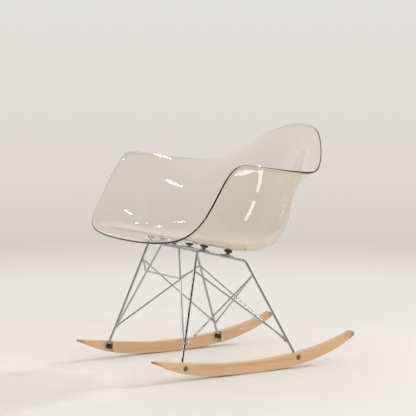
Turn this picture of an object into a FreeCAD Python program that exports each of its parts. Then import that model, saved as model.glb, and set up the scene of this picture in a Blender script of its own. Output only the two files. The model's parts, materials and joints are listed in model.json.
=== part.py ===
import FreeCAD, Part
import math
import os

import Sketcher

from FreeCAD import Vector

doc = FreeCAD.newDocument("RockingChair")

# ---------------------------------------------------------------------------
# Driving dimensions, in millimetres and degrees. The chair faces -Y, +Z is up,
# and the floor is z = 0.
# ---------------------------------------------------------------------------
DIMENSIONS = {
    "rocker_spacing": 425.0,  # between the middles of the two runners
    "rocker_thickness": 24.0,
    "rocker_rounding": 2.0,
    "scoop_depth": 7.0,
    "counterbore_diameter": 15.0,
    "counterbore_depth": 8.0,
    "bolt_diameter": 6.0,
    "bolt_clearance": 0.4,
    "bolt_head_diameter": 10.0,
    "bolt_head_height": 5.5,
    "bolt_key_size": 5.0,
    "bolt_key_depth": 3.0,
    "bolt_washer_diameter": 13.4,
    "bolt_washer_thickness": 1.2,
    "cap_nut_diameter": 15.0,
    "cap_nut_height": 8.0,
    "cap_nut_rounding": 2.5,
    "cap_nut_top": 2.0,
    "eye_diameter": 20.0,
    "eye_thickness": 3.4,
    "eye_tongue_width": 8.0,
    "side_rod_diameter": 7.0,
    "front_rod_diameter": 5.6,
    "cross_rod_diameter": 6.0,
    "brace_diameter": 5.0,
    "side_bend_radius": 11.0,
    "brace_bend_radius": 8.0,
    "tab_length": 36.0,
    "tab_width": 17.0,
    "tab_thickness": 3.0,
    "tab_corner_radius": 3.0,
    "spacer_diameter": 14.0,
    "spacer_height": 7.0,
    "cross_spacer_height": 4.0,
    "pad_diameter": 23.0,
    "pad_height": 7.0,
    "screw_diameter": 5.0,
    "screw_clearance": 0.4,
    "thread_clearance": 0.1,
    "screw_head_diameter": 9.0,
    "screw_head_height": 3.0,
    "insert_diameter": 8.0,
    "insert_height": 3.4,
    "shell_thickness": 4.6,
}

sheet = doc.addObject("Spreadsheet::Sheet", "Dimensions")
for row, (alias, number) in enumerate(DIMENSIONS.items(), start=1):
    sheet.set(f"A{row}", alias)
    sheet.set(f"B{row}", str(number))
    sheet.setAlias(f"B{row}", alias)
doc.recompute()


def size(alias):
    """A driving dimension, as a plain number."""
    return float(sheet.get(alias))


SIDES = {"left": 1, "right": -1}  # the sitter's left is +X
subparts = []


def keep(item, label):
    """Name an object as a sub-part: its label names its file."""
    item.Label = label
    subparts.append(item)
    return item


def bind(item, **sizes):
    """Tie an object's sizes to cells or formulas of the sheet."""
    for name, formula in sizes.items():
        item.setExpression(name, formula)
    return item


def cell(alias):
    return f"<<Dimensions>>.{alias}"


# ---------------------------------------------------------------------------
# Bent rods. Each one is a round bar swept along straight runs joined by arcs.
# ---------------------------------------------------------------------------
def bent_route(points, radius):
    """Straight runs through the points, with a tangent arc of the radius at each corner."""
    edges = []
    start = points[0]
    for before, corner, after in zip(points, points[1:], points[2:]):
        inward = (before - corner).normalize()
        onward = (after - corner).normalize()
        half_turn = (math.pi - inward.getAngle(onward)) / 2
        setback = radius * math.tan(half_turn)
        bisector = (inward + onward).normalize()
        arc_start = corner + inward * setback
        arc_end = corner + onward * setback
        arc_middle = corner + bisector * (radius / math.cos(half_turn) - radius)
        edges.append(Part.makeLine(start, arc_start))
        edges.append(Part.Arc(arc_start, arc_middle, arc_end).toShape())
        start = arc_end
    edges.append(Part.makeLine(start, points[-1]))
    return Part.Wire(edges)


def rod(label, points, diameter, radius):
    """A bent bar with a round section, its diameter tied to a cell of the sheet."""
    route = bent_route(points, size(radius))
    spine = doc.addObject("Part::Feature", f"{label}_route")
    spine.Shape = route
    section = bind(doc.addObject("Part::Circle", f"{label}_section"), Radius=f"{cell(diameter)} / 2")
    along = FreeCAD.Rotation(Vector(0, 0, 1), points[1] - points[0])
    section.Placement = FreeCAD.Placement(points[0], along)
    bar = doc.addObject("Part::Sweep", f"{label}_bar")
    bar.Sections = [section]
    bar.Spine = (spine, [f"Edge{n + 1}" for n in range(len(route.Edges))])
    bar.Solid = True
    bar.Frenet = False
    doc.recompute()
    expected = math.pi * size(diameter) ** 2 / 4 * route.Length
    if abs(bar.Shape.Volume / expected - 1) > 0.02:
        raise RuntimeError(f"{label} has the wrong volume")
    return keep(bar, label)


def mirrored(point, side):
    return Vector(point.x * side, point.y, point.z)


# Corners of the left side rod, on its centre line. The front and rear feet end at the rod eyes.
FRONT_FOOT = Vector(203.8, -240.8, 47)
FRONT_CORNER = Vector(131.5, -145, 349)
REAR_CORNER = Vector(131, 18, 308)
REAR_FOOT = Vector(203.8, 138, 42)

# Corners of the front rod and the braces, each clear of the rod that it is welded to.
FRONT_ROD_FOOT = Vector(187.2, -225.4, 96)
FRONT_ROD_TOP = Vector(47.4, -153.6, 348.4)
CROSS_ROD_END = Vector(137, -148.6, 352.4)
BRACE_ON_SIDE_ROD = Vector(138.4, -161, 295)
BRACE_ON_FRONT_ROD = Vector(92.6, -181.6, 268.5)
BRACE_REAR_END = Vector(193.4, 113.2, 84)
SIDE_BRACE_FOOT = Vector(191.5, -219.4, 98)
SIDE_BRACE_TOP = Vector(137.2, 35.2, 264)
SIDE_BRACE_END = Vector(189, 121, 77)


def make_side_rods():
    corners = [FRONT_FOOT, FRONT_CORNER, REAR_CORNER, REAR_FOOT]
    for name, side in SIDES.items():
        points = [mirrored(corner, side) for corner in corners]
        rod(f"side_rod_{name}", points, "side_rod_diameter", "side_bend_radius")


def make_front_rods():
    half = [FRONT_ROD_FOOT, FRONT_ROD_TOP]
    points = half + [mirrored(corner, -1) for corner in reversed(half)]
    rod("front_rod", points, "front_rod_diameter", "brace_bend_radius")
    ends = [CROSS_ROD_END, mirrored(CROSS_ROD_END, -1)]
    rod("cross_rod", ends, "cross_rod_diameter", "brace_bend_radius")


def make_braces():
    half = [BRACE_REAR_END, BRACE_ON_SIDE_ROD, BRACE_ON_FRONT_ROD]
    points = half + [mirrored(corner, -1) for corner in reversed(half)]
    rod("front_brace", points, "brace_diameter", "brace_bend_radius")
    # The two side braces cross at the back, one just behind the other.
    for name, side in SIDES.items():
        behind = Vector(0, side * (size("brace_diameter") / 2 + 0.1), 0)
        points = [
            mirrored(SIDE_BRACE_FOOT, side),
            mirrored(SIDE_BRACE_TOP, side) + behind,
            mirrored(SIDE_BRACE_END, -side) + behind,
        ]
        rod(f"side_brace_{name}", points, "brace_diameter", "brace_bend_radius")


# ---------------------------------------------------------------------------
# Seat shell: one thin moulding. Its outer face runs from the heart of the seat, where
# the floor is a plane that rises to the front, out to the rim. Each station is one
# meridian of that face, from the middle of the front round to the middle of the back
# on the sitter's left.
# Columns: rim x, y, z; tilt of the wall at the rim above horizontal; length of that
# wall's straight run; reach of the bend below it and its height over the floor plane;
# reach of the floor and its height over the floor plane.
# ---------------------------------------------------------------------------
SEAT_HEART = Vector(0, 40, 327)
FLOOR_RISE = 0.14  # height gained per unit toward the front, at the heart
SHELL_STATIONS = [
    (0, -313, 375, -24, 45, 255, 24, 165, 12),  # front edge, middle
    (110, -309, 376, -22, 45, 258, 24, 165, 12),
    (206, -291, 383, -6, 48, 265, 20, 168, 12),
    (264, -268, 401, 18, 55, 275, 16, 172, 11),
    (297, -232, 440, 40, 70, 285, 13, 176, 10),  # front corner
    (303, -190, 510, 58, 105, 290, 11, 178, 9),
    (301, -152, 572, 66, 140, 288, 10, 180, 8),
    (308, -121, 603, 70, 155, 284, 10, 180, 7),  # front of the arm
    (316, -82, 599, 68, 145, 276, 14, 178, 6),
    (313, 20, 582, 58, 120, 254, 30, 168, 5),
    (303, 90, 572, 42, 95, 238, 54, 158, 6),
    (290, 143, 565, 22, 76, 226, 76, 150, 9),  # the arm meets the back
    (260, 184, 569, 10, 75, 214, 90, 144, 12),
    (215, 226, 595, 14, 76, 202, 102, 140, 15),
    (150, 272, 646, 34, 92, 194, 112, 137, 18),
    (80, 306, 680, 54, 118, 189, 118, 135, 20),
    (0, 316, 687, 61, 128, 188, 120, 135, 20),  # top of the back, middle
]


def meridian(station, inset):
    """Six control points from the heart out to the rim, moved to the sitter's side by inset."""
    x, y, z, tilt, wall_run, bend_reach, bend_height, floor_reach, floor_height = station
    up = Vector(0, 0, 1)
    outward = Vector(x, y - SEAT_HEART.y, 0).normalize()
    level = outward.cross(up)
    floor = outward - up * FLOOR_RISE * outward.y
    slope = math.radians(tilt)
    wall = outward * math.cos(slope) + up * math.sin(slope)
    rim = Vector(x, y, z)
    points = [
        SEAT_HEART,
        SEAT_HEART + floor * floor_reach / 2,
        SEAT_HEART + floor * floor_reach + up * floor_height,
        SEAT_HEART + floor * bend_reach + up * bend_height,
        rim - wall * wall_run,
        rim,
    ]
    # On the floor the sitter's side is square to the floor plane, beyond it square to the wall.
    square = Vector(0, FLOOR_RISE, 1)
    runs = [after - before for before, after in zip(points[1:], points[3:])] + [wall]
    sitter_side = [square, square] + [level.cross(run) for run in runs]
    return [point + way.normalize() * inset for point, way in zip(points, sitter_side)]


def shell_face(inset):
    """A smooth closed-round face through the meridians of both sides."""
    right = [(-station[0],) + station[1:] for station in SHELL_STATIONS[-2:0:-1]]
    net = [meridian(station, inset) for station in SHELL_STATIONS + right]
    face = Part.BSplineSurface()
    around = len(net)
    face.buildFromPolesMultsKnots(
        net,
        [1] * (around + 1),
        [4, 1, 1, 4],
        list(range(around + 1)),
        [0, 1, 2, 3],
        True,
        False,
        3,
        3,
    )
    return face.toShape()


def rim_edge(face):
    """The longest edge of a shell face is its rim."""
    return max(face.Edges, key=lambda edge: edge.Length)


def make_shell():
    outer = shell_face(0)
    inner = shell_face(size("shell_thickness"))
    rim = Part.makeRuledSurface(rim_edge(outer), rim_edge(inner))
    skin = Part.makeShell([outer, inner, rim])
    skin.sewShape()
    solid = Part.Solid(skin)
    if solid.Volume < 0:
        solid.reverse()
    moulding = doc.addObject("Part::Feature", "seat_shell")
    moulding.Shape = solid
    return keep(moulding, "seat_shell")


# ---------------------------------------------------------------------------
# Mounts between the rods and the shell: chromed tab, brass spacer and rubber pad,
# with a screw up through tab and spacer into the brass insert inside the pad.
# ---------------------------------------------------------------------------
RAIL_DROP = FRONT_CORNER.z - REAR_CORNER.z
RAIL_RUN = REAR_CORNER.y - FRONT_CORNER.y
SEAT_SLOPE = math.degrees(math.atan2(RAIL_DROP, RAIL_RUN))
TAB_OVERHANG = 13.2  # from the rod's centre line to the mount's axis
TAB_PAST_ROD = 2.5
THREAD_END_GAP = 0.4  # between the screw's tip and the top of its insert


def on_rail(y):
    """The point of the left side rod's top rail at this y."""
    return FRONT_CORNER + (REAR_CORNER - FRONT_CORNER) * ((y - FRONT_CORNER.y) / RAIL_RUN)


# Each mount: the point of the rod beside it, the way from the rod to the mount's
# axis, and the cells with the rod's diameter and the spacer's height.
MOUNTS = {
    "side_front": (on_rail(-134), Vector(1, 0, 0), "side_rod_diameter", "spacer_height"),
    "side_rear": (on_rail(-53), Vector(1, 0, 0), "side_rod_diameter", "spacer_height"),
    "cross": (
        Vector(70, CROSS_ROD_END.y, CROSS_ROD_END.z),
        Vector(0, 1, 0),
        "cross_rod_diameter",
        "cross_spacer_height",
    ),
}


def mount_placement(point, away, height, side):
    """A placement on the mount's axis, which stands square on the sloping rail."""
    lean = FreeCAD.Rotation(Vector(1, 0, 0), -SEAT_SLOPE)
    offset = lean.multVec(away * TAB_OVERHANG + Vector(0, 0, height))
    return FreeCAD.Placement(mirrored(point + offset, side), lean)


def moved(placement, x, y, z):
    """The same placement, shifted along its own axes."""
    return placement * FreeCAD.Placement(Vector(x, y, z), FreeCAD.Rotation())


def cylinder(name, radius, height, placement):
    item = bind(doc.addObject("Part::Cylinder", name), Radius=radius, Height=height)
    item.Placement = placement
    return item


def cut(name, base, tool):
    item = doc.addObject("Part::Cut", name)
    item.Base = base
    item.Tool = tool
    return item


def fuse(name, shapes):
    item = doc.addObject("Part::MultiFuse", name)
    item.Shapes = shapes
    return item


def make_tab(label, placement, away, side):
    """A strip that sits on the rod at one edge and carries the mount at its middle."""
    length = size("tab_length")
    reach = TAB_OVERHANG + TAB_PAST_ROD
    margin = size("tab_width") / 2
    plate = doc.addObject("Part::Box", f"{label}_plate")
    if away.x:
        bind(plate, Width=cell("tab_length"), Height=cell("tab_thickness"))
        plate.Length = reach + margin
        start = -reach if side > 0 else -margin
        plate.Placement = moved(placement, start, -length / 2, 0)
    else:
        bind(plate, Length=cell("tab_length"), Height=cell("tab_thickness"))
        plate.Width = reach + margin
        plate.Placement = moved(placement, -length / 2, -reach, 0)
    doc.recompute()
    corners = [
        index + 1
        for index, edge in enumerate(plate.Shape.Edges)
        if abs(edge.Length - size("tab_thickness")) < 1e-6
    ]
    rounded = doc.addObject("Part::Fillet", f"{label}_rounded")
    rounded.Base = plate
    radius = size("tab_corner_radius")
    rounded.Edges = [(corner, radius, radius) for corner in corners]
    hole = cylinder(
        f"{label}_hole",
        f"({cell('screw_diameter')} + {cell('screw_clearance')}) / 2",
        f"{cell('tab_thickness')} * 3",
        moved(placement, 0, 0, -size("tab_thickness")),
    )
    keep(cut(f"{label}_cut", rounded, hole), label)


def make_spacer(label, height, placement):
    collar = cylinder(f"{label}_body", f"{cell('spacer_diameter')} / 2", cell(height), placement)
    hole = cylinder(
        f"{label}_hole",
        f"({cell('screw_diameter')} + {cell('screw_clearance')}) / 2",
        f"{cell(height)} * 3",
        moved(placement, 0, 0, -size(height)),
    )
    keep(cut(f"{label}_cut", collar, hole), label)


def make_pad(label, placement, shell):
    """A rubber disc whose top follows the underside of the shell, hollow for its insert."""
    radius = size("pad_diameter") / 2
    column = Part.makeCylinder(radius, size("pad_height") * 3)
    socket_radius = size("insert_diameter") / 2
    column = column.cut(Part.makeCylinder(socket_radius, size("insert_height")))
    column.Placement = placement
    pieces = column.cut(shell.Shape).Solids
    pad = doc.addObject("Part::Feature", label)
    pad.Shape = min(pieces, key=lambda piece: piece.CenterOfMass.z)
    keep(pad, label)


def make_screw(placement, grip):
    """A pan-head screw: its head under the tab, its shank up into the insert."""
    under = moved(placement, 0, 0, -size("screw_head_height"))
    head = cylinder(
        "screw_head",
        f"{cell('screw_head_diameter')} / 2",
        cell("screw_head_height"),
        under,
    )
    shank = cylinder(
        "screw_shank",
        f"{cell('screw_diameter')} / 2",
        f"{cell('screw_head_height')} + {grip}",
        under,
    )
    return fuse("mount_screw", [head, shank])


def make_insert(placement):
    body = cylinder(
        "insert_body", f"{cell('insert_diameter')} / 2", cell("insert_height"), placement
    )
    bore = cylinder(
        "insert_bore",
        f"({cell('screw_diameter')} + {cell('thread_clearance')}) / 2",
        f"{cell('insert_height')} * 3",
        moved(placement, 0, 0, -size("insert_height")),
    )
    return cut("mount_insert", body, bore)


def group(label, items):
    """Identical fasteners, kept as separate solids under one name."""
    compound = doc.addObject("Part::Compound", f"{label}_group")
    compound.Links = items
    keep(compound, label)


def make_mounts(shell):
    tab = size("tab_thickness")
    screws = []
    inserts = []
    for name, (point, away, rod_diameter, spacer_height) in MOUNTS.items():
        for side_name, side in SIDES.items():
            spacer = size(spacer_height)
            on_rod = mount_placement(point, away, size(rod_diameter) / 2, side)
            under_pad = moved(on_rod, 0, 0, tab + spacer)
            make_tab(f"tab_{name}_{side_name}", on_rod, away, side)
            make_spacer(f"spacer_{name}_{side_name}", spacer_height, moved(on_rod, 0, 0, tab))
            make_pad(f"pad_{name}_{side_name}", under_pad, shell)
            grip = tab + spacer + size("insert_height") - THREAD_END_GAP
            screws.append(make_screw(on_rod, grip))
            inserts.append(make_insert(under_pad))
    group("mount_screws", screws)
    group("mount_inserts", inserts)


# ---------------------------------------------------------------------------
# Rockers: solid wood runners, cut from a board in side view. The floor touches the
# lower edge at y = -20. Each foot of a side rod sits in a scoop in the inner face.
# ---------------------------------------------------------------------------
ROCKER_TOP = [
    (-337, 62.4), (-300, 58.5), (-240, 50.8), (-160, 40.8), (-80, 34.6), (-20, 33.4),
    (40, 34.8), (120, 41.2), (200, 52.6), (280, 71.5), (332, 89.5),
]
ROCKER_BOTTOM = [
    (338.5, 76.6), (290, 50), (230, 28.5), (160, 12.6), (80, 3.4), (-20, 0),
    (-120, 3.6), (-200, 11.4), (-260, 25), (-300, 39.6), (-335, 56.4),
]
ROCKER_REAR_TIP = (339.8, 83.5)
ROCKER_FRONT_TIP = (-340, 59.2)
BOLT_CENTRES = {"front": (-241, 35.5), "rear": (140.5, 30.6)}  # y, z
SCOOP_RAMP = 43.5  # along y, in front of the flat
SCOOP_FLAT = 11.0  # half of the flat, about the bolt
SCOOP_CUT = 200.0  # above and below, past both edges of the board


def plane(body, role):
    return next(item for item in body.Origin.OriginFeatures if item.Role == role)


def sketch_on(body, name, role, shift=0):
    sketch = body.newObject("Sketcher::SketchObject", name)
    sketch.AttachmentSupport = [(plane(body, role), "")]
    sketch.MapMode = "FlatFace"
    sketch.AttachmentOffset = FreeCAD.Placement(Vector(0, 0, shift), FreeCAD.Rotation())
    return sketch


def flat(point):
    return Vector(point[0], point[1], 0)


def spline(points):
    curve = Part.BSplineCurve()
    curve.interpolate([flat(point) for point in points])
    return curve


def draw_rocker(sketch):
    sketch.addGeometry(spline(ROCKER_TOP))
    sketch.addGeometry(
        Part.Arc(flat(ROCKER_TOP[-1]), flat(ROCKER_REAR_TIP), flat(ROCKER_BOTTOM[0]))
    )
    sketch.addGeometry(spline(ROCKER_BOTTOM))
    sketch.addGeometry(
        Part.Arc(flat(ROCKER_BOTTOM[-1]), flat(ROCKER_FRONT_TIP), flat(ROCKER_TOP[0]))
    )


def pocket(body, name, sketch, depth, reverse, symmetric=False):
    """Cut a pocket and make sure that it removed wood."""
    before = body.Shape.Volume
    item = body.newObject("PartDesign::Pocket", name)
    item.Profile = sketch
    item.Midplane = symmetric
    item.Reversed = reverse
    if isinstance(depth, str):
        item.setExpression("Length", depth)
    else:
        item.Length = depth
    doc.recompute()
    if body.Shape.Volume > before - 1:
        raise RuntimeError(f"{name} cut nothing")


def make_rocker(name, side):
    body = doc.addObject("PartDesign::Body", f"rocker_{name}")
    thickness = size("rocker_thickness")
    outline = sketch_on(body, f"rocker_{name}_outline", "YZ_Plane")
    draw_rocker(outline)
    board = body.newObject("PartDesign::Pad", f"rocker_{name}_board")
    board.Profile = outline
    board.Midplane = True
    board.setExpression("Length", cell("rocker_thickness"))
    doc.recompute()

    # Round every edge of both faces: the ones that don't run across the board.
    faces = [
        f"Edge{n + 1}"
        for n, edge in enumerate(board.Shape.Edges)
        if edge.BoundBox.XLength < thickness / 2
    ]
    rounded = body.newObject("PartDesign::Fillet", f"rocker_{name}_rounded")
    rounded.Base = (board, faces)
    rounded.setExpression("Radius", cell("rocker_rounding"))
    doc.recompute()

    # Ramp down to a flat seat for the eye, with a square shoulder behind it.
    inner_face = -side * thickness / 2
    floor = inner_face + side * size("scoop_depth")
    outside = inner_face - side * 2
    scoops = sketch_on(body, f"rocker_{name}_scoops", "XY_Plane")
    for y, _ in BOLT_CENTRES.values():
        corners = [
            Vector(outside, y - SCOOP_FLAT - SCOOP_RAMP, 0),
            Vector(floor, y - SCOOP_FLAT, 0),
            Vector(floor, y + SCOOP_FLAT, 0),
            Vector(outside, y + SCOOP_FLAT, 0),
        ]
        for start, end in zip(corners, corners[1:] + corners[:1]):
            scoops.addGeometry(Part.LineSegment(start, end))
    pocket(body, f"rocker_{name}_scoop", scoops, 2 * SCOOP_CUT, False, symmetric=True)

    # A counterbore outside for the bolt's head, and a hole right through.
    for part, diameter, depth in (
        ("counterbore", cell("counterbore_diameter"), cell("counterbore_depth")),
        ("hole", f"{cell('bolt_diameter')} + {cell('bolt_clearance')}", cell("rocker_thickness")),
    ):
        circles = sketch_on(body, f"rocker_{name}_{part}s", "YZ_Plane", side * thickness / 2)
        for y, z in BOLT_CENTRES.values():
            index = circles.addGeometry(Part.Circle(Vector(y, z, 0), Vector(0, 0, 1), 1))
            constraint = circles.addConstraint(Sketcher.Constraint("Diameter", index, 2.0))
            circles.setExpression(f"Constraints[{constraint}]", diameter)
        pocket(body, f"rocker_{name}_{part}", circles, depth, side < 0)

    centre = Vector(side * size("rocker_spacing") / 2, 0, 0)
    body.Placement = FreeCAD.Placement(centre, FreeCAD.Rotation())
    keep(body, f"rocker_{name}")


# ---------------------------------------------------------------------------
# Feet: the eye welded on each rod's end, and the bolt that holds it to the rocker.
# ---------------------------------------------------------------------------
WELD_GAP = 0.6  # between an eye's tongue and the end of its rod
BOLT_TIP = 2.6  # from a bolt's tip to the inner side of its cap nut


def across(x, y, z, side):
    """A placement whose own Z axis points outward along X."""
    turn = FreeCAD.Rotation(Vector(0, 0, 1), Vector(side, 0, 0))
    return FreeCAD.Placement(Vector(x * side, y, z), turn)


def make_eye(label, x, y, z, foot, side):
    """A ring round the bolt, with a tongue up to the foot of the rod."""
    ring = cylinder(
        f"{label}_ring",
        f"{cell('eye_diameter')} / 2",
        cell("eye_thickness"),
        across(x, y, z, side),
    )
    rise = Vector(0, foot.y - y, foot.z - z)
    tongue = doc.addObject("Part::Box", f"{label}_tongue")
    bind(tongue, Length=cell("eye_thickness"), Width=cell("eye_tongue_width"))
    tongue.Height = rise.Length - WELD_GAP
    lean = FreeCAD.Rotation(Vector(0, 0, 1), rise)
    corner = Vector(x if side > 0 else -x - size("eye_thickness"), y, z)
    centred = Vector(0, -size("eye_tongue_width") / 2, 0)
    tongue.Placement = FreeCAD.Placement(corner, lean) * FreeCAD.Placement(
        centred, FreeCAD.Rotation()
    )
    hole = cylinder(
        f"{label}_hole",
        f"({cell('bolt_diameter')} + {cell('bolt_clearance')}) / 2",
        f"{cell('eye_thickness')} * 3",
        across(x - size("eye_thickness"), y, z, side),
    )
    keep(cut(f"{label}_cut", fuse(f"{label}_blank", [ring, tongue]), hole), label)


def make_bolt(x_seat, x_end, y, z, side):
    """A socket-head bolt: head outside, shank inward."""
    head = cylinder(
        "bolt_head",
        f"{cell('bolt_head_diameter')} / 2",
        cell("bolt_head_height"),
        across(x_seat, y, z, side),
    )
    shank = cylinder(
        "bolt_shank",
        f"{cell('bolt_diameter')} / 2",
        str(x_seat - x_end + 1),
        across(x_end, y, z, side),
    )
    key = bind(
        doc.addObject("Part::Prism", "bolt_key"),
        Circumradius=f"{cell('bolt_key_size')} / sqrt(3)",
        Height=f"{cell('bolt_key_depth')} + 1",
    )
    key.Polygon = 6
    mouth = x_seat + size("bolt_head_height") - size("bolt_key_depth")
    key.Placement = across(mouth, y, z, side)
    return cut("rocker_bolt", fuse("bolt_blank", [head, shank]), key)


def make_washer(x, y, z, side):
    ring = cylinder(
        "washer_ring",
        f"{cell('bolt_washer_diameter')} / 2",
        cell("bolt_washer_thickness"),
        across(x, y, z, side),
    )
    hole = cylinder(
        "washer_hole",
        f"({cell('bolt_diameter')} + {cell('bolt_clearance')}) / 2",
        f"{cell('bolt_washer_thickness')} * 3",
        across(x - size("bolt_washer_thickness"), y, z, side),
    )
    return cut("bolt_washer", ring, hole)


def make_cap_nut(x, y, z, side):
    """A low domed nut, closed on the inner side."""
    body = cylinder(
        "cap_body",
        f"{cell('cap_nut_diameter')} / 2",
        cell("cap_nut_height"),
        across(x, y, z, side),
    )
    doc.recompute()
    edges = body.Shape.Edges
    inner_edge = min(range(len(edges)), key=lambda n: edges[n].CenterOfMass.x * side)
    dome = doc.addObject("Part::Fillet", "cap_dome")
    dome.Base = body
    radius = size("cap_nut_rounding")
    dome.Edges = [(inner_edge + 1, radius, radius)]
    bore = cylinder(
        "cap_bore",
        f"({cell('bolt_diameter')} + {cell('thread_clearance')}) / 2",
        cell("cap_nut_height"),
        across(x + size("cap_nut_top"), y, z, side),
    )
    return cut("cap_nut", dome, bore)


def make_feet():
    outer = (size("rocker_spacing") + size("rocker_thickness")) / 2
    counterbore_floor = outer - size("counterbore_depth")
    head_seat = counterbore_floor + size("bolt_washer_thickness")
    scoop_floor = outer - size("rocker_thickness") + size("scoop_depth")
    eye_inner = scoop_floor - size("eye_thickness")
    cap_inner = eye_inner - size("cap_nut_height")
    feet = {"front": FRONT_FOOT, "rear": REAR_FOOT}
    bolts = []
    washers = []
    nuts = []
    for side_name, side in SIDES.items():
        for end, (y, z) in BOLT_CENTRES.items():
            make_eye(f"eye_{end}_{side_name}", eye_inner, y, z, feet[end], side)
            bolts.append(make_bolt(head_seat, cap_inner + BOLT_TIP, y, z, side))
            washers.append(make_washer(counterbore_floor, y, z, side))
            nuts.append(make_cap_nut(cap_inner, y, z, side))
    group("rocker_bolts", bolts)
    group("bolt_washers", washers)
    group("cap_nuts", nuts)


make_side_rods()
make_front_rods()
make_braces()
seat_shell = make_shell()
make_mounts(seat_shell)
for side_name, side in SIDES.items():
    make_rocker(side_name, side)
make_feet()
doc.recompute()

for item in doc.Objects:
    if "Invalid" in item.State or "Error" in item.State:
        raise RuntimeError(f"{item.Label} failed: {item.State}")
for item in subparts:
    if item.Shape.isNull() or not item.Shape.isValid():
        raise RuntimeError(f"{item.Label} is not a valid shape")

os.makedirs("parts", exist_ok=True)
for item in subparts:
    item.Shape.exportStep(f"parts/{item.Label}.step")
    box = item.Shape.BoundBox
    solids = len(item.Shape.Solids)
    print(f"{item.Label}: {solids} solid(s), {box.ZMin:.1f} to {box.ZMax:.1f} mm high")
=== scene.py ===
# %% [markdown]
# A rocking armchair: one thin see-through moulded shell on a base of chromed wire, with
# two wooden rockers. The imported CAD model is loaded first. It gives every place and size,
# so the pieces made here are never fitted by eye.

# %% Load the frame
import json
import math

import bmesh
import bpy
import numpy as np
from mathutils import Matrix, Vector


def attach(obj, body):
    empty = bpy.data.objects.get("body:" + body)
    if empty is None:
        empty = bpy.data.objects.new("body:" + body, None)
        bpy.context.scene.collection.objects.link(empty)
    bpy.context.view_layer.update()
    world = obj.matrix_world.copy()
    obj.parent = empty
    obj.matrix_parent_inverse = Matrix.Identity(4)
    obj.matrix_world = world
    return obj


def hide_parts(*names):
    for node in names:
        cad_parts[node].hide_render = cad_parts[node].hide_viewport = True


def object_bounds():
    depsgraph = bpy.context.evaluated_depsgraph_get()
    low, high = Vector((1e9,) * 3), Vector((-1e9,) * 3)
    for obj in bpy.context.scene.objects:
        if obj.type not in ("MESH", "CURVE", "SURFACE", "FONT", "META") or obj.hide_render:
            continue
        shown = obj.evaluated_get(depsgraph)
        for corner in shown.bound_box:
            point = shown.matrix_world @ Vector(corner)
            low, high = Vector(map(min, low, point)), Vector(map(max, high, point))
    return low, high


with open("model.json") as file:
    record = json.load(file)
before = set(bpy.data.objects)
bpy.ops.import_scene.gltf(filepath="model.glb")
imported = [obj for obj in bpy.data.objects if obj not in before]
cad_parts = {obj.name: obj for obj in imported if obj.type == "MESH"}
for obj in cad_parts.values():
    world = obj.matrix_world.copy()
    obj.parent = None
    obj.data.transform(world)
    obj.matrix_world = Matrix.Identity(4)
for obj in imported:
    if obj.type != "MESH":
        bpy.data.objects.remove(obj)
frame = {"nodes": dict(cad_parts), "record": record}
scene = bpy.context.scene
nodes = frame["nodes"]
cad_box = [list(corner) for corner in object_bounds()]
slot_of = {row["node"]: row["material_slot"] for row in frame["record"]["subparts"]}
print("CAD nodes:", len(nodes), "box:", cad_box)

# %% [markdown]
# The camera stands low and far away, in front of the chair and to the sitter's left. A long
# lens from far away keeps both rockers almost parallel, as in furniture pictures. Its place
# is worked out from two angles and a distance, which are easier to change than X, Y and Z.

# %% Camera
AZIMUTH = math.radians(57.45)
ELEVATION = math.radians(6.01)
DISTANCE = 5.8
AIM_HEIGHT = 0.450
AIM_SIDE = -0.021
LENS_MM = 172.6
SENSOR_MM = 36.0
FAR_CLIP = 100.0

back = Vector((
    math.sin(AZIMUTH) * math.cos(ELEVATION),
    -math.cos(AZIMUTH) * math.cos(ELEVATION),
    math.sin(ELEVATION),
))
side = Vector((math.cos(AZIMUTH), math.sin(AZIMUTH), 0))
camera = bpy.data.objects.new("camera", bpy.data.cameras.new("camera"))
camera.data.lens = LENS_MM
camera.data.sensor_width = SENSOR_MM
camera.data.clip_end = FAR_CLIP
camera.location = side * AIM_SIDE + Vector((0, 0, AIM_HEIGHT)) + back * DISTANCE
camera.rotation_mode = "QUATERNION"
camera.rotation_quaternion = (-back).to_track_quat("-Z", "Y")
scene.collection.objects.link(camera)
scene.camera = camera
scene.view_settings.view_transform = "Standard"
print("camera at", [round(value, 3) for value in camera.location])

# %% [markdown]
# Node trees are wired by small helpers. The first adds a node and fills its inputs: a value
# that is an output socket is linked, anything else is set. The next three are the nodes used
# most. The last three start a material, with its plain values on the shader's own sockets,
# start a group that several materials can share, and place such a group in a material.

# %% Helpers for node trees
def add(tree, kind, inputs=None, **settings):
    """Add a node, set its properties, and set or link its inputs."""
    node = tree.nodes.new(kind)
    for name, value in settings.items():
        setattr(node, name, value)
    for name, value in (inputs or {}).items():
        if isinstance(value, bpy.types.NodeSocket):
            tree.links.new(value, node.inputs[name])
        else:
            node.inputs[name].default_value = value
    return node


def math_node(tree, operation, first, second=0.0, clamp=False):
    """One Math node, returned as its output."""
    values = {0: first, 1: second}
    return add(tree, "ShaderNodeMath", values, operation=operation, use_clamp=clamp).outputs[0]


def ramp(tree, factor, low, high, to_low=0.0, to_high=1.0):
    """Stretch the part of a value between low and high to a new range."""
    values = {"Value": factor, 1: low, 2: high, 3: to_low, 4: to_high}
    return add(tree, "ShaderNodeMapRange", values, clamp=True).outputs[0]


def blend_colour(tree, factor, first, second):
    """Mix two colours, returned as the output."""
    node = add(tree, "ShaderNodeMix", {"Factor": factor}, data_type="RGBA")
    for socket, value in ((node.inputs[6], first), (node.inputs[7], second)):
        if isinstance(value, bpy.types.NodeSocket):
            tree.links.new(value, socket)
        else:
            socket.default_value = (*value, 1.0)
    return node.outputs[2]


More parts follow.
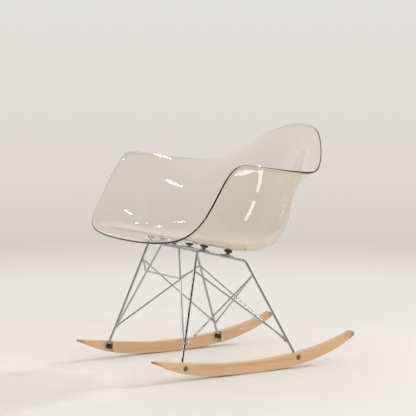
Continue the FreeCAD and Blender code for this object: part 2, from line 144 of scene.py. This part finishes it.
def new_material(name, **plain):
    """A material with its Principled shader, whose plain values are set here."""
    material = bpy.data.materials.new(name)
    material.use_nodes = True
    shader = material.node_tree.nodes["Principled BSDF"]
    for socket, value in plain.items():
        socket = socket.replace("_", " ")
        colour = isinstance(value, tuple)
        shader.inputs[socket].default_value = (*value, 1.0) if colour else value
    return material, material.node_tree, shader


def new_group(name, inputs, outputs):
    """A shader node group with named sockets, returned with its two end nodes."""
    group = bpy.data.node_groups.new(name, "ShaderNodeTree")
    kind = "NodeSocketFloat"
    for label, default in inputs.items():
        socket = group.interface.new_socket(label, in_out="INPUT", socket_type=kind)
        socket.default_value = default
    for label in outputs:
        group.interface.new_socket(label, in_out="OUTPUT", socket_type=kind)
    return group, group.nodes.new("NodeGroupInput"), group.nodes.new("NodeGroupOutput")


def place(tree, group, **values):
    """Put a group in a material with its own values."""
    node = add(tree, "ShaderNodeGroup", node_tree=group)
    for name, value in values.items():
        node.inputs[name.replace("_", " ")].default_value = value
    return node


# %% [markdown]
# Polished metal and clear plastic never reflect evenly. Handling leaves fine hairlines, and
# wiping leaves broad dull clouds. Both are made once, in a group that several materials
# share with their own strengths. Noise that is squeezed along one direction gives the
# hairlines, and plain noise gives the clouds. The group puts out two masks and a height.

# %% Shared effect: handling marks
handling, given, result = new_group(
    "handling_marks",
    {"Hairline size": 400.0, "Cloud size": 18.0, "Hairlines": 0.5},
    ("Roughness mask", "Cloud mask", "Height"),
)
place_in = add(handling, "ShaderNodeTexCoord").outputs["Object"]
turned = add(handling, "ShaderNodeMapping", {
    "Vector": place_in, "Rotation": (0.4, 0.3, 0.7), "Scale": (1.0, 1.0, 0.04),
}).outputs["Vector"]
lines = add(handling, "ShaderNodeTexNoise", {
    "Vector": turned, "Scale": given.outputs["Hairline size"], "Detail": 2.0,
}).outputs["Fac"]
clouds = add(handling, "ShaderNodeTexNoise", {
    "Vector": place_in, "Scale": given.outputs["Cloud size"], "Detail": 4.0, "Roughness": 0.6,
}).outputs["Fac"]
thin_lines = ramp(handling, lines, 0.56, 0.72)
soft_clouds = ramp(handling, clouds, 0.35, 0.70)
scaled = math_node(handling, "MULTIPLY", thin_lines, given.outputs["Hairlines"])
half_clouds = math_node(handling, "MULTIPLY", soft_clouds, 0.5)
both = math_node(handling, "ADD", scaled, half_clouds, True)
handling.links.new(both, result.inputs["Roughness mask"])
handling.links.new(soft_clouds, result.inputs["Cloud mask"])
handling.links.new(scaled, result.inputs["Height"])
print("group:", handling.name)

# %% [markdown]
# Dust settles on what faces up, in small specks rather than as an even film. The second
# shared group reads the surface's own normal, keeps the upward part of it, and breaks it up
# with fine noise. Rubber and black plastic use it with different amounts.

# %% Shared effect: dust
dust, given, result = new_group("dust", {"Amount": 0.3, "Speck size": 900.0}, ("Mask",))
normal = add(dust, "ShaderNodeNewGeometry").outputs["Normal"]
facing_up = add(dust, "ShaderNodeSeparateXYZ", {"Vector": normal}).outputs["Z"]
upward = ramp(dust, facing_up, 0.1, 1.0)
specks = add(dust, "ShaderNodeTexNoise", {
    "Vector": add(dust, "ShaderNodeTexCoord").outputs["Object"],
    "Scale": given.outputs["Speck size"], "Detail": 3.0,
}).outputs["Fac"]
settled = math_node(dust, "MULTIPLY", upward, ramp(dust, specks, 0.45, 0.75))
mask = math_node(dust, "MULTIPLY", settled, given.outputs["Amount"], True)
dust.links.new(mask, result.inputs["Mask"])
print("group:", dust.name)

# %% [markdown]
# Chrome plating is a mirror with a faint cool tint. On wire it mirrors long thin stretches
# of the room, so most of its look comes from the light. The material only adds a slight
# change of roughness from the marks, and a darker, duller film in the clouds. The flat
# plates, the zinc plated bolts and the brass spacers are the same recipe with other values.

# %% Chrome, zinc and brass
def chrome(name, tint, film, smooth, dull, hairlines, bump):
    """A plated metal: a mirror with a tint, a cloudy film and fine marks."""
    material, tree, shader = new_material(name, Metallic=1.0)
    marks = place(tree, handling, Hairlines=hairlines, Hairline_size=520.0)
    colour = blend_colour(tree, marks.outputs["Cloud mask"], tint, film)
    tree.links.new(colour, shader.inputs["Base Color"])
    rough = ramp(tree, marks.outputs["Roughness mask"], 0.0, 1.0, smooth, dull)
    tree.links.new(rough, shader.inputs["Roughness"])
    relief = add(tree, "ShaderNodeBump", {
        "Height": marks.outputs["Height"], "Strength": bump, "Distance": 0.0001,
    })
    tree.links.new(relief.outputs["Normal"], shader.inputs["Normal"])
    return material


METALS = (  # name, tint, film, smooth and dull roughness, hairlines, bump
    ("chromed_rod", (0.55, 0.56, 0.58), (0.40, 0.41, 0.43), 0.05, 0.18, 0.35, 0.03),
    ("chromed_plate", (0.68, 0.69, 0.71), (0.55, 0.56, 0.58), 0.14, 0.32, 0.8, 0.2),
    ("zinc_steel", (0.30, 0.30, 0.31), (0.17, 0.17, 0.18), 0.28, 0.48, 0.9, 0.3),
    ("brass", (0.50, 0.31, 0.16), (0.30, 0.17, 0.09), 0.28, 0.50, 0.6, 0.3),
)
chromed_rod, chromed_plate, zinc_steel, brass = [chrome(*row) for row in METALS]
print("metals:", [row[0] for row in METALS])

# %% [markdown]
# The pads are moulded rubber: nearly black, matt, with a fine orange-peel skin and a little
# dust. The nut caps are black plastic, smoother than the rubber, with a soft shine. One
# function makes both, because they differ only in colour, roughness and skin.

# %% Rubber and black plastic
def dark_moulding(name, colour, dusty, smooth, dull, skin, amount):
    """A dark moulded surface: its colour, dust on it, and the scale of its skin."""
    material, tree, shader = new_material(name, Metallic=0.0)
    specks = place(tree, dust, Amount=amount)
    marks = place(tree, handling, Hairlines=0.4)
    tinted = blend_colour(tree, specks.outputs["Mask"], colour, dusty)
    tree.links.new(tinted, shader.inputs["Base Color"])
    rough = ramp(tree, marks.outputs["Roughness mask"], 0.0, 1.0, smooth, dull)
    tree.links.new(rough, shader.inputs["Roughness"])
    peel = add(tree, "ShaderNodeTexNoise", {
        "Vector": add(tree, "ShaderNodeTexCoord").outputs["Object"],
        "Scale": skin, "Detail": 2.0,
    })
    relief = add(tree, "ShaderNodeBump", {
        "Height": peel.outputs["Fac"], "Strength": 0.25, "Distance": 0.0003,
    })
    tree.links.new(relief.outputs["Normal"], shader.inputs["Normal"])
    return material


black_rubber = dark_moulding(
    "black_rubber", (0.035, 0.030, 0.028), (0.20, 0.18, 0.16), 0.55, 0.75, 1500.0, 0.5
)
black_cap = dark_moulding(
    "black_cap", (0.012, 0.012, 0.013), (0.12, 0.11, 0.10), 0.25, 0.42, 900.0, 0.3
)
print("mouldings:", black_rubber.name, black_cap.name)

# %% [markdown]
# The rockers are pale beech with a satin varnish. Beech has a quiet, straight figure: broad
# soft bands from the growth rings, fine fibres along the grain, and short dark flecks. The
# grain runs along each rocker, so every texture is squeezed along Y. Near the tips the
# curve cuts across the grain, and the end grain drinks more varnish and turns darker.

# %% Beech
TIP_START, TIP_END = 0.318, 0.338  # distance from the middle of the chair, along Y


def stretched(tree, across, along):
    """Object coordinates, scaled so that a noise runs along the grain."""
    place_on = add(tree, "ShaderNodeTexCoord").outputs["Object"]
    return add(tree, "ShaderNodeMapping", {
        "Vector": place_on, "Scale": (across, along, across),
    }).outputs["Vector"]


beech, tree, shader = new_material(
    "beech", Metallic=0.0, Coat_Roughness=0.28, IOR=1.5
)
bands = add(tree, "ShaderNodeTexNoise", {
    "Vector": stretched(tree, 60.0, 2.2), "Scale": 1.0, "Detail": 3.0, "Distortion": 0.4,
}).outputs["Fac"]
fibres = add(tree, "ShaderNodeTexNoise", {
    "Vector": stretched(tree, 700.0, 14.0), "Scale": 1.0, "Detail": 4.0, "Roughness": 0.65,
}).outputs["Fac"]
flecks = add(tree, "ShaderNodeTexVoronoi", {
    "Vector": stretched(tree, 420.0, 75.0), "Scale": 1.0, "Randomness": 1.0,
}).outputs["Distance"]
fleck_mask = ramp(tree, flecks, 0.16, 0.06)
ring_mask = ramp(tree, bands, 0.32, 0.68)
warm = blend_colour(tree, ring_mask, (0.63, 0.36, 0.175), (0.745, 0.475, 0.265))
fine = blend_colour(tree, ramp(tree, fibres, 0.35, 0.70, 0.0, 0.55), warm, (0.77, 0.535, 0.335))
flecked = blend_colour(
    tree, math_node(tree, "MULTIPLY", fleck_mask, 0.45), fine, (0.36, 0.185, 0.09)
)
along = add(tree, "ShaderNodeSeparateXYZ", {
    "Vector": add(tree, "ShaderNodeTexCoord").outputs["Object"],
}).outputs["Y"]
at_tip = ramp(tree, math_node(tree, "ABSOLUTE", along), TIP_START, TIP_END, 0.0, 0.75)
aged = blend_colour(tree, at_tip, flecked, (0.27, 0.15, 0.085))
tree.links.new(aged, shader.inputs["Base Color"])
worn = place(tree, handling, Hairlines=0.3, Cloud_size=30.0)
rough = ramp(tree, worn.outputs["Roughness mask"], 0.0, 1.0, 0.42, 0.58)
tree.links.new(rough, shader.inputs["Roughness"])
varnish = ramp(tree, worn.outputs["Cloud mask"], 0.0, 1.0, 0.30, 0.12)
tree.links.new(varnish, shader.inputs["Coat Weight"])
relief = add(tree, "ShaderNodeBump", {
    "Height": math_node(tree, "SUBTRACT", fibres, fleck_mask),
    "Strength": 0.15, "Distance": 0.0002,
})
tree.links.new(relief.outputs["Normal"], shader.inputs["Normal"])
print("wood:", beech.name)

# %% [markdown]
# The shell is clear plastic with a smoke tint. A single wall only warms what is behind it,
# while the edge, seen along the sheet, is nearly black, because the light has travelled
# through much more plastic. So the tint isn't painted on: the wall is a real solid that
# bends light, and an absorption volume inside it darkens light by the distance it travels.
# Light from the lamps takes a shortcut through a Transparent shader, so the shell casts the
# faint shadow of clear plastic without noisy caustics.

# %% Tinted plastic
tinted_shell, tree, shader = new_material(
    "tinted_shell", Metallic=0.0, Transmission_Weight=1.0, IOR=1.47
)
marks = place(tree, handling, Hairlines=0.25, Cloud_size=9.0, Hairline_size=260.0)
film = blend_colour(
    tree, marks.outputs["Cloud mask"], (0.995, 0.992, 0.988), (0.985, 0.978, 0.970)
)
tree.links.new(film, shader.inputs["Base Color"])
rough = ramp(tree, marks.outputs["Roughness mask"], 0.0, 1.0, 0.0, 0.035)
tree.links.new(rough, shader.inputs["Roughness"])
ripple = add(tree, "ShaderNodeTexNoise", {
    "Vector": add(tree, "ShaderNodeTexCoord").outputs["Object"], "Scale": 9.0, "Detail": 1.0,
}).outputs["Fac"]
relief = add(tree, "ShaderNodeBump", {"Height": ripple, "Strength": 0.05, "Distance": 0.002})
tree.links.new(relief.outputs["Normal"], shader.inputs["Normal"])
shortcut = add(tree, "ShaderNodeBsdfTransparent", {"Color": (0.86, 0.80, 0.73, 1.0)})
path = add(tree, "ShaderNodeLightPath")
either = add(tree, "ShaderNodeMixShader", {
    "Fac": path.outputs["Is Shadow Ray"], 1: shader.outputs[0], 2: shortcut.outputs[0],
})
tint = add(tree, "ShaderNodeVolumeAbsorption", {
    "Color": (0.80, 0.63, 0.42, 1.0), "Density": 60.0,
})
end = tree.nodes["Material Output"]
tree.links.new(either.outputs[0], end.inputs["Surface"])
tree.links.new(tint.outputs[0], end.inputs["Volume"])
print("plastic:", tinted_shell.name)

# %% [markdown]
# Every CAD node keeps its shape and takes the material of its slot. Smooth shading is left
# as it came from the CAD, where each face already carries its own normals.

# %% Give the CAD nodes their materials
FINISHES = {
    "chromed_rod": chromed_rod,
    "chromed_plate": chromed_plate,
    "zinc_steel": zinc_steel,
    "brass": brass,
    "black_rubber": black_rubber,
    "black_cap": black_cap,
    "beech": beech,
    "tinted_shell": tinted_shell,
}
for name, node in nodes.items():
    node.data.materials.clear()
    node.data.materials.append(FINISHES[slot_of[name]])
print("finished nodes:", len(nodes))

# %% [markdown]
# The shell is made again here, because a see-through wall shows every facet and its rim
# needs a round edge. It follows the same rule as the CAD solid. Each row of the table is one
# meridian, from the heart of the seat out to the rim: where the rim is, how its wall leans,
# and how far the bend and the floor reach. Six control points of a B-spline come from each
# row, and the rows are mirrored for the other side.

# %% The shell's meridians
HEART = np.array((0.0, 40.0, 327.0))
FLOOR_RISE = 0.14
# Each row: rim x, y and z, lean and run of the wall, then reach and height of the bend and
# of the floor. Lengths are in millimetres and the lean is in degrees.
STATIONS = [
    (0, -313, 375, -24, 45, 255, 24, 165, 12),
    (110, -309, 376, -22, 45, 258, 24, 165, 12),
    (206, -291, 383, -6, 48, 265, 20, 168, 12),
    (264, -268, 401, 18, 55, 275, 16, 172, 11),
    (297, -232, 440, 40, 70, 285, 13, 176, 10),
    (303, -190, 510, 58, 105, 290, 11, 178, 9),
    (301, -152, 572, 66, 140, 288, 10, 180, 8),
    (308, -121, 603, 70, 155, 284, 10, 180, 7),
    (316, -82, 599, 68, 145, 276, 14, 178, 6),
    (313, 20, 582, 58, 120, 254, 30, 168, 5),
    (303, 90, 572, 42, 95, 238, 54, 158, 6),
    (290, 143, 565, 22, 76, 226, 76, 150, 9),
    (260, 184, 569, 10, 75, 214, 90, 144, 12),
    (215, 226, 595, 14, 76, 202, 102, 140, 15),
    (150, 272, 646, 34, 92, 194, 112, 137, 18),
    (80, 306, 680, 54, 118, 189, 118, 135, 20),
    (0, 316, 687, 61, 128, 188, 120, 135, 20),
]


def meridian(station):
    """Six control points, in millimetres, from the heart out to the rim."""
    x, y, z, lean, wall_run, bend, bend_height, floor, floor_height = station
    up = np.array((0.0, 0.0, 1.0))
    outward = np.array((x, y - HEART[1], 0.0))
    outward /= np.linalg.norm(outward)
    level = outward - up * FLOOR_RISE * outward[1]
    slope = math.radians(lean)
    wall = outward * math.cos(slope) + up * math.sin(slope)
    rim = np.array((x, y, z), float)
    return [
        HEART,
        HEART + level * floor / 2,
        HEART + level * floor + up * floor_height,
        HEART + level * bend + up * bend_height,
        rim - wall * wall_run,
        rim,
    ]


other_side = [(-row[0],) + row[1:] for row in STATIONS[-2:0:-1]]
net = np.array([meridian(row) for row in STATIONS + other_side]) / 1000
print("control net:", net.shape)

# %% [markdown]
# A B-spline is a weighted mean of its control points. Two short functions give the weights:
# one for the closed way round, where all spans are alike, and one for the way out along a
# meridian, where the curve starts and ends on its control points. One product of the two
# sets of weights with the net then gives the whole face.

# %% Points of the outer face
ROUND_STEPS = 10
WALL_STEPS = 84
KNOTS = [0, 0, 0, 0, 1, 2, 3, 3, 3, 3]
LAST_STOP = 2.9999999  # just inside the last span, where its weights still exist
POLES = 6  # control points in a meridian


def round_weights(count, steps):
    """Weights of a closed cubic B-spline, one row per point."""
    rows = np.zeros((count * steps, count))
    for row in range(count * steps):
        span, t = divmod(row / steps, 1)
        values = ((1 - t) ** 3, 3 * t**3 - 6 * t**2 + 4, -3 * t**3 + 3 * t**2 + 3 * t + 1, t**3)
        for offset, value in enumerate(values):
            rows[row, (int(span) + offset) % count] = value / 6
    return rows


def wall_weight(index, degree, t):
    """Weight of one control point of the meridian's B-spline at t."""
    if degree == 0:
        return 1.0 if KNOTS[index] <= t < KNOTS[index + 1] else 0.0
    total = 0.0
    if KNOTS[index + degree] > KNOTS[index]:
        share = (t - KNOTS[index]) / (KNOTS[index + degree] - KNOTS[index])
        total += share * wall_weight(index, degree - 1, t)
    if KNOTS[index + degree + 1] > KNOTS[index + 1]:
        rest = KNOTS[index + degree + 1] - t
        share = rest / (KNOTS[index + degree + 1] - KNOTS[index + 1])
        total += share * wall_weight(index + 1, degree - 1, t)
    return total


stops = np.linspace(0, KNOTS[-1], WALL_STEPS + 1)
stops[-1] = LAST_STOP
outward_weights = np.array([[wall_weight(i, 3, t) for i in range(POLES)] for t in stops])
outer = np.einsum("ai,bj,ijk->abk", round_weights(len(net), ROUND_STEPS), outward_weights, net)
print("outer face:", outer.shape)

# %% [markdown]
# Meshes are built as a bmesh, a list of points and faces that is easy to add to. One helper
# turns such a list into an object. For a closed piece it also makes the faces look outward
# and shades them smoothly.

# %% Helper for meshes
def object_from(mesh, name, material, closed=True):
    """Turn a bmesh into an object in the scene, with one material."""
    if closed:
        bmesh.ops.recalc_face_normals(mesh, faces=mesh.faces)
        for face in mesh.faces:
            face.smooth = True
        print(name, "volume:", round(mesh.calc_volume() * 1e6), "cm3, faces:", len(mesh.faces))
    data = bpy.data.meshes.new(name)
    mesh.to_mesh(data)
    mesh.free()
    data.materials.append(material)
    piece = bpy.data.objects.new(name, data)
    scene.collection.objects.link(piece)
    return piece


# %% [markdown]
# The inner face lies one wall thickness along the outer face's normal, so the wall is even
# everywhere. The rim is rounded with a half circle between the two faces. It starts half a
# thickness short of the edge, so that the rounding ends where the CAD rim does. A Solidify
# modifier could thicken the sheet too, but it leaves a square edge.

# %% Shell mesh
WALL = 0.0046
RIM_STEPS = 7


def sheet_normals(points):
    """Unit normals of a closed grid of points, toward the sitter."""
    around = np.roll(points, -1, 0) - np.roll(points, 1, 0)
    across = np.gradient(points, axis=1)
    normals = np.cross(across, around)
    normals[:, 0] = (0.0, FLOOR_RISE, 1.0)
    return normals / np.linalg.norm(normals, axis=2, keepdims=True)


toward_edge = outer[:, -1] - outer[:, -2]
toward_edge /= np.linalg.norm(toward_edge, axis=1, keepdims=True)
outer[:, -1] -= toward_edge * WALL / 2
normals = sheet_normals(outer)
inner = outer + normals * WALL
middle = (outer[:, -1] + inner[:, -1]) / 2
half = (outer[:, -1] - inner[:, -1]) / 2
rounding = [
    middle + half * math.cos(angle) + toward_edge * (WALL / 2) * math.sin(angle)
    for angle in np.linspace(0, math.pi, RIM_STEPS + 2)[1:-1]
]
rings = [outer[:, k] for k in range(1, WALL_STEPS + 1)] + rounding
rings += [inner[:, k] for k in range(WALL_STEPS, 0, -1)]

mesh = bmesh.new()
made = [[mesh.verts.new(point) for point in ring] for ring in rings]
hearts = (mesh.verts.new(outer[0, 0]), mesh.verts.new(inner[0, 0]))
for first, second in zip(made, made[1:]):
    for k in range(len(first)):
        after = (k + 1) % len(first)
        mesh.faces.new((first[k], first[after], second[after], second[k]))
for ring, heart in zip((made[0], made[-1]), hearts):
    for k in range(len(ring)):
        mesh.faces.new((heart, ring[k], ring[(k + 1) % len(ring)]))
shell = object_from(mesh, "moulded_shell", tinted_shell)
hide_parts("seat_shell")
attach(shell, "root")

# %% [markdown]
# Each wire ends in a weld: a small lump of filler that was plated with the rest, seen as a
# knot where the wire meets a leg. A lump is a ball pulled out along its wire, with three
# low waves round it, since no weld is an even ball. Its place comes from the CAD node: the
# end of the wire is the outermost low point of its mesh, on either side.

# %% Weld beads
BEAD_ACROSS = 0.0044
BEAD_ALONG = 0.0072
END_REACH = 0.008
WAVE_DEPTH = 0.07
ROUND, RINGS = 14, 8


def wire_end(node, side):
    """The middle of a wire's end on one side, and the direction in which the wire runs."""
    points = np.array([node.matrix_world @ vertex.co for vertex in node.data.vertices])
    gap = np.linalg.norm(points - points[np.argmax(points @ (side, 0.0, -1.0))], axis=1)
    middle = points[gap < END_REACH].mean(axis=0)
    beyond = points[gap >= END_REACH]
    run = beyond[np.argmin(gap[gap >= END_REACH])] - middle
    return middle, run / np.linalg.norm(run)


def add_bead(mesh, middle, run):
    """Add one closed lump to the mesh, long in the direction of the wire."""
    across = np.cross(run, (0.3, 0.5, 0.8))
    across /= np.linalg.norm(across)
    third = np.cross(run, across)
    rings = []
    for tilt in np.linspace(0, math.pi, RINGS + 2)[1:-1]:
        ring = []
        for turn in np.linspace(0, 2 * math.pi, ROUND, endpoint=False):
            wave = 1 + WAVE_DEPTH * math.sin(3 * turn + 2 * tilt)
            level = across * math.cos(turn) + third * math.sin(turn)
            ring.append(mesh.verts.new(
                middle + run * BEAD_ALONG * math.cos(tilt)
                + level * BEAD_ACROSS * math.sin(tilt) * wave
            ))
        rings.append(ring)
    for first, second in zip(rings, rings[1:]):
        for k in range(ROUND):
            after = (k + 1) % ROUND
            mesh.faces.new((first[k], first[after], second[after], second[k]))
    for ring, way in ((rings[0], 1), (rings[-1], -1)):
        tip = mesh.verts.new(middle + run * BEAD_ALONG * way)
        for k in range(ROUND):
            mesh.faces.new((tip, ring[(k + 1) % ROUND], ring[k]))


mesh = bmesh.new()
WIRES = ("front_brace", "side_brace_left", "side_brace_right", "front_rod", "cross_rod")
for name in WIRES:
    for side_sign in (1.0, -1.0):
        add_bead(mesh, *wire_end(nodes[name], side_sign))
welds = object_from(mesh, "weld_beads", chromed_rod)
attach(welds, "root")
print("welds:", 2 * len(WIRES))

# %% [markdown]
# The stage is a pale warm floor that fades out with distance into an even backdrop. The
# fade is in the floor's own Alpha, by distance from the chair, so there is no hard horizon
# and nothing stands in the way of a camera on the other side.

# %% Floor
FLOOR_RADIUS = 2.9
FADE_START = 1.8
FLOOR_DROP = 0.0003  # keeps the floor clear of the rockers' lowest line
PALE, GREY = (0.85, 0.832, 0.805), (0.82, 0.80, 0.77)

floor_material, tree, shader = new_material("studio_floor", Metallic=0.0, Roughness=0.75)
place_on = add(tree, "ShaderNodeTexCoord").outputs["Object"]
stains = add(tree, "ShaderNodeTexNoise", {"Vector": place_on, "Scale": 3.0, "Detail": 5.0})
stained = blend_colour(tree, ramp(tree, stains.outputs["Fac"], 0.35, 0.75), PALE, GREY)
tree.links.new(stained, shader.inputs["Base Color"])
reach = add(tree, "ShaderNodeVectorMath", {0: place_on}, operation="LENGTH").outputs["Value"]
tree.links.new(ramp(tree, reach, FADE_START, FLOOR_RADIUS, 1.0, 0.0), shader.inputs["Alpha"])

mesh = bmesh.new()
bmesh.ops.create_circle(mesh, cap_ends=True, segments=96, radius=FLOOR_RADIUS)
floor = object_from(mesh, "studio_floor", floor_material, closed=False)
floor.location.z = cad_box[0][2] - FLOOR_DROP
print("floor radius:", FLOOR_RADIUS)

# %% [markdown]
# Chrome and clear plastic show the room they stand in. The room here has two faces: what
# the camera and clear plastic see is a pale backdrop, a little darker low down, and what
# shiny surfaces mirror is the same backdrop with a dim side, where a studio is dark behind
# the camera. That dim side draws the dark line down the middle of each rod.

# %% Backdrop and room
world = bpy.data.worlds.new("studio")
world.use_nodes = True
scene.world = world
tree = world.node_tree
direction = add(tree, "ShaderNodeTexCoord").outputs["Generated"]
height = add(tree, "ShaderNodeSeparateXYZ", {"Vector": direction}).outputs["Z"]
below = ramp(tree, height, -0.125, -0.095)
low = blend_colour(tree, below, (0.66, 0.61, 0.57), (0.725, 0.675, 0.63))
backdrop = blend_colour(tree, ramp(tree, height, -0.10, 0.0), low, (0.76, 0.75, 0.72))
toward_camera = add(tree, "ShaderNodeVectorMath", {
    0: direction, 1: (back.x, back.y, 0.12),
}, operation="DOT_PRODUCT").outputs["Value"]
facing = ramp(tree, toward_camera, -0.35, 0.45)
dim = blend_colour(tree, facing, (1.0, 0.99, 0.97), (0.022, 0.021, 0.020))
lifted = blend_colour(tree, ramp(tree, height, 0.55, 0.95), dim, (0.95, 0.94, 0.92))
path = add(tree, "ShaderNodeLightPath")
bent = path.outputs["Is Transmission Ray"]
mirror_ray = math_node(tree, "SUBTRACT", path.outputs["Is Glossy Ray"], bent, True)
mirrored = blend_colour(tree, mirror_ray, backdrop, lifted)
tree.links.new(mirrored, tree.nodes["Background"].inputs["Color"])
print("world:", world.name)

# %% [markdown]
# A small hard-edged source low behind the chair, built as a sun lamp, gives the thin
# shadows that lie to the front. A large fill on the right lifts the faces that it misses.
# Three softboxes are there only to be mirrored: a long thin one on the right glints in the
# seat, one high behind draws the streak along the far arm, and a tall narrow one in front
# draws the upright streak on the back. Ray visibility keeps each lamp to its own work. The
# sun, too, is left out of what the chrome mirrors, so that no wire glares.

# %% Lamps
SUN_POWER = 1.15
SUN_WIDTH = math.radians(5)
SUN_COLOUR = (1.0, 0.98, 0.95)
SUN_WAY = (0.05, -0.87, -0.50)
FILL_PLACE, FILL_AIM = (2.6, 1.4, 1.7), (0, 0, 0.2)
MIDDLE = Vector((0, 0, 0.42))
MIRRORED_DISTANCE = 3.0


def softbox(name, place_at, aim, width, length, power, colour=(1.0, 1.0, 1.0)):
    """A rectangular area lamp that looks at a point."""
    data = bpy.data.lights.new(name, "AREA")
    data.shape = "RECTANGLE"
    data.size = width
    data.size_y = length
    data.energy = power
    data.color = colour
    lamp = bpy.data.objects.new(name, data)
    lamp.location = place_at
    lamp.rotation_mode = "QUATERNION"
    lamp.rotation_quaternion = (Vector(aim) - Vector(place_at)).to_track_quat("-Z", "Y")
    scene.collection.objects.link(lamp)
    return lamp


sun = bpy.data.objects.new("sun", bpy.data.lights.new("sun", "SUN"))
sun.data.energy = SUN_POWER
sun.data.angle = SUN_WIDTH
sun.data.color = SUN_COLOUR
sun.rotation_mode = "QUATERNION"
sun.rotation_quaternion = Vector(SUN_WAY).to_track_quat("-Z", "Y")
sun.visible_glossy = False
scene.collection.objects.link(sun)

fill = softbox("fill", FILL_PLACE, FILL_AIM, 2.6, 2.2, 19, (1.0, 0.99, 0.97))
fill.visible_glossy = False
fill.visible_transmission = False


def toward(azimuth, elevation):
    """A point in this direction from the middle of the chair. Azimuth 0 is in front of it."""
    turn, rise = math.radians(azimuth), math.radians(elevation)
    level = math.cos(rise)
    way = Vector((math.sin(turn) * level, -math.cos(turn) * level, math.sin(rise)))
    return MIDDLE + way * MIRRORED_DISTANCE


for name, place_at, width, length, power in (
    ("side_softbox", toward(100, 38), 0.90, 0.13, 8),
    ("upper_softbox", toward(150, 52), 0.45, 0.30, 9),
    ("front_softbox", toward(-7, 25), 0.18, 1.15, 13),
):
    lamp = softbox(name, place_at, MIDDLE, width, length, power)
    lamp.visible_diffuse = False
    lamp.visible_transmission = False
